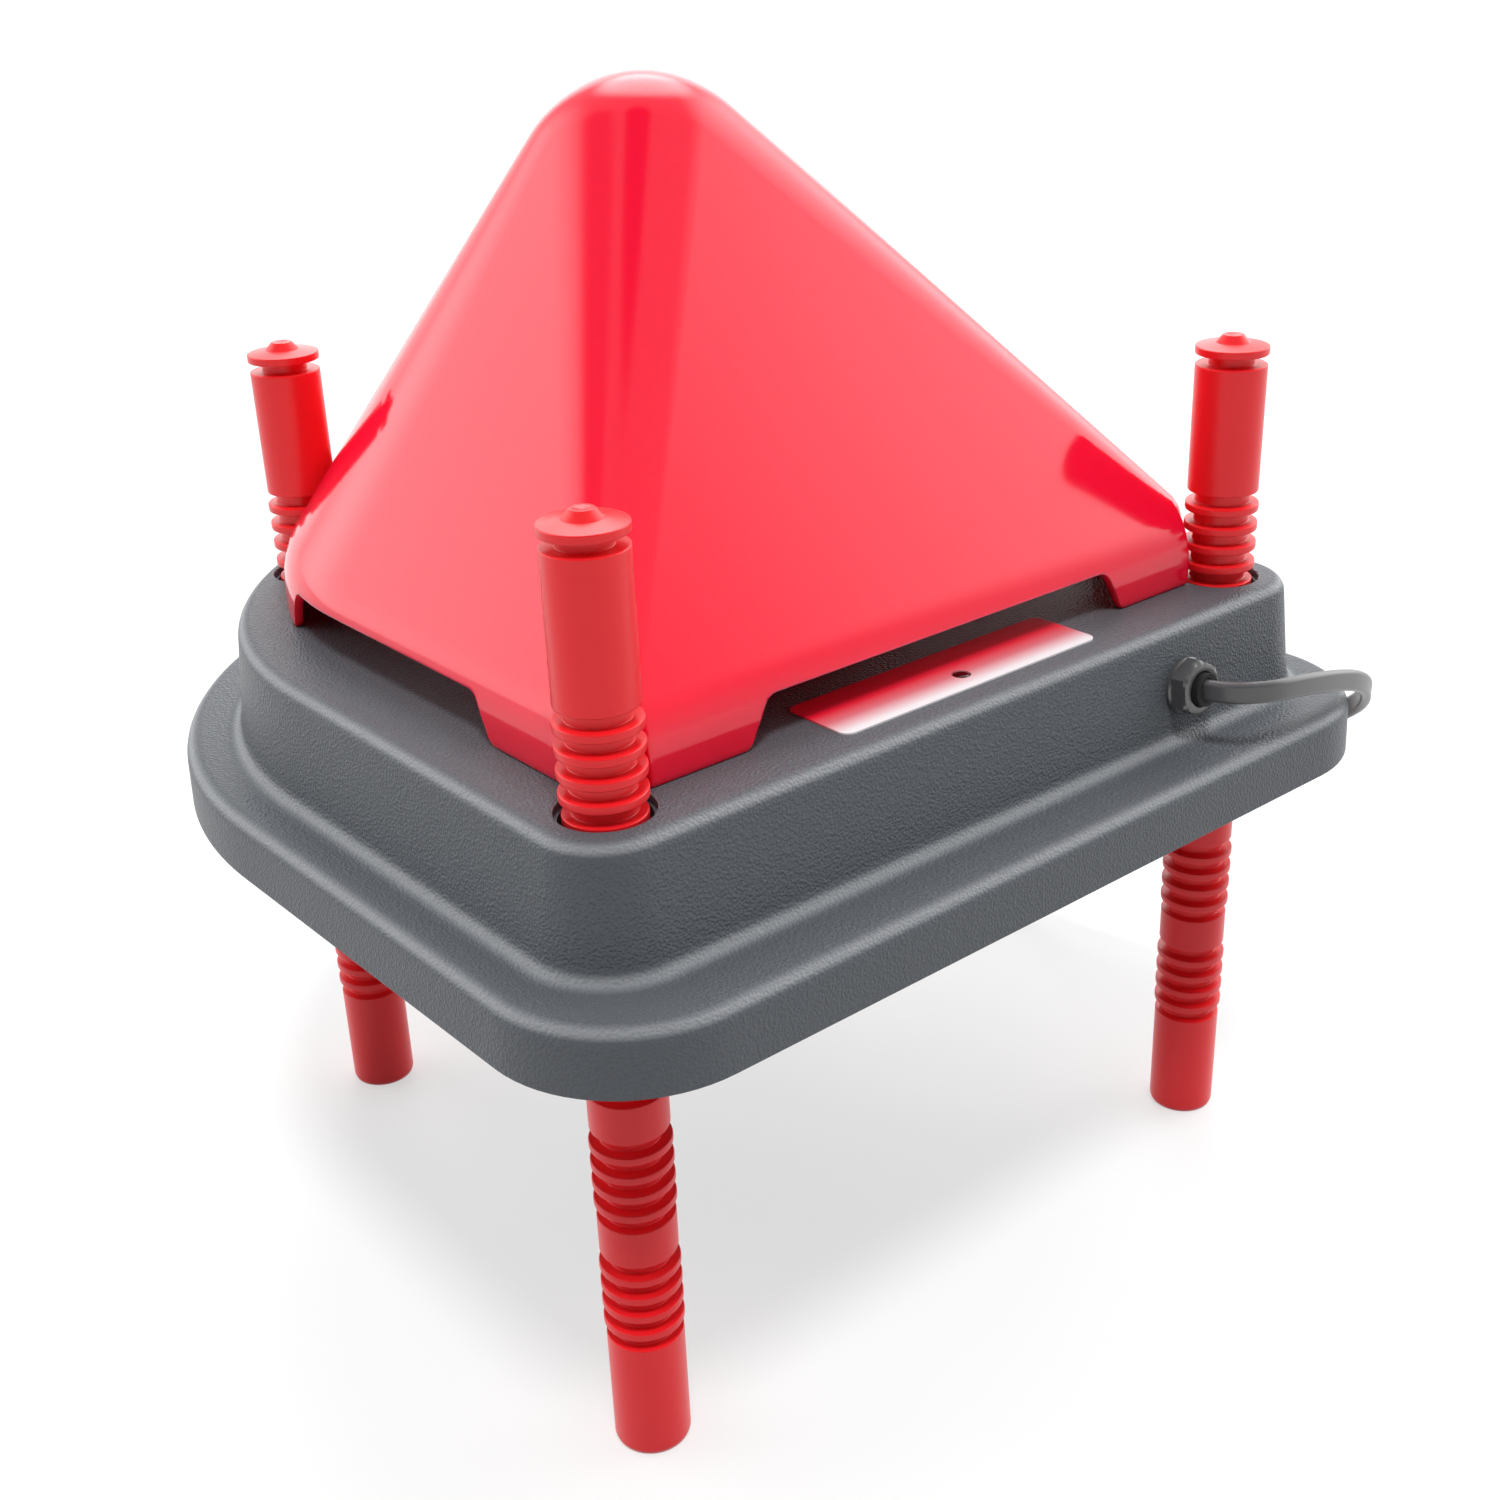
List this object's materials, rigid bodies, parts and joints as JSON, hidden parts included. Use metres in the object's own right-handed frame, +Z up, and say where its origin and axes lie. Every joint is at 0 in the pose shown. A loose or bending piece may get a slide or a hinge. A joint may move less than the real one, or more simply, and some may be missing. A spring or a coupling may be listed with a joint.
{
  "type": "chicken brooder heater plate",
  "caption": "D-shaped electric warming plate on slide-through grooved legs, with a loose red pyramid cover, pilot lamp and flat mains cord, for brooding chicks.",
  "frame": {"origin": "on the floor below the middle of the plate, with the feet at height zero", "axes": "+Z up, -Y towards the straight front with the label and the cord, +X to the right seen from the front"},
  "size_m": [0.3186, 0.4163, 0.3319],
  "materials": {
    "housing_plastic": "moulded, fine pebble grain, semi-gloss slate grey",
    "base_plastic": "smooth moulded dark grey",
    "seal_rubber": "matt black rubber",
    "screw_steel": "zinc-plated screws",
    "mat_silicone": "silicone heating mat",
    "track_metal": "etched metal foil",
    "insulation_wool": "pressed mineral wool",
    "guide_plastic": "smooth moulded grey",
    "leg_plastic": "satin moulded red",
    "cover_plastic": "glossy, slightly translucent red",
    "label_film": "bare printed film, red fading to white",
    "lamp_plastic": "dark red lens",
    "circuit_board": "green board",
    "gland_plastic": "moulded dark grey nylon",
    "terminal_plastic": "ivory moulded",
    "cutout_case": "glazed white",
    "wire_sleeve": "plastic wire insulation",
    "cord_sheath": "satin dark grey flat flex",
    "tie_strap": "black strap",
    "plug_plastic": "moulded dark grey",
    "pin_metal": "nickel-plated brass"
  },
  "bodies": {
    "plate": {"top_housing": "housing_plastic", "base_plate": "base_plastic", "edge_seal": "seal_rubber", "base_screws": "screw_steel", "heating_mat": "mat_silicone", "heating_track": "track_metal", "insulation_pad": "insulation_wool", "guide_front_left": "guide_plastic", "guide_front_right": "guide_plastic", "guide_back_left": "guide_plastic", "guide_back_right": "guide_plastic", "grip_rings": "seal_rubber", "label_plate": "label_film", "lamp_lens": "lamp_plastic", "lamp_board": "circuit_board", "gland_body": "gland_plastic", "gland_locknut": "gland_plastic", "gland_bush": "seal_rubber", "terminal_block": "terminal_plastic", "thermal_cutout": "cutout_case", "cord_cores": "wire_sleeve", "heater_leads": "wire_sleeve", "lamp_leads": "wire_sleeve", "supply_cord": "cord_sheath", "cord_coil": "cord_sheath", "cord_tie": "tie_strap", "cord_tail": "cord_sheath", "plug_body": "plug_plastic", "plug_pins": "pin_metal"},
    "front_left_leg": {"leg_front_left": "leg_plastic"},
    "front_right_leg": {"leg_front_right": "leg_plastic"},
    "back_left_leg": {"leg_back_left": "leg_plastic"},
    "back_right_leg": {"leg_back_right": "leg_plastic"},
    "cover": {"pyramid_cover": "cover_plastic"}
  },
  "joints": [
    {"name": "front_left_leg_slide", "type": "slide", "parent": "plate", "child": "front_left_leg", "axis": [0, 0, 1], "range_m": [-0.0377, 0.1131]},
    {"name": "front_right_leg_slide", "type": "slide", "parent": "plate", "child": "front_right_leg", "axis": [0, 0, 1], "range_m": [-0.0377, 0.1131]},
    {"name": "back_left_leg_slide", "type": "slide", "parent": "plate", "child": "back_left_leg", "axis": [0, 0, 1], "range_m": [-0.0377, 0.1131]},
    {"name": "back_right_leg_slide", "type": "slide", "parent": "plate", "child": "back_right_leg", "axis": [0, 0, 1], "range_m": [-0.0377, 0.1131]},
    {"name": "cover_lift", "type": "slide", "parent": "plate", "child": "cover", "axis": [0, 0, 1], "range_m": [0, 0.2]}
  ]
}
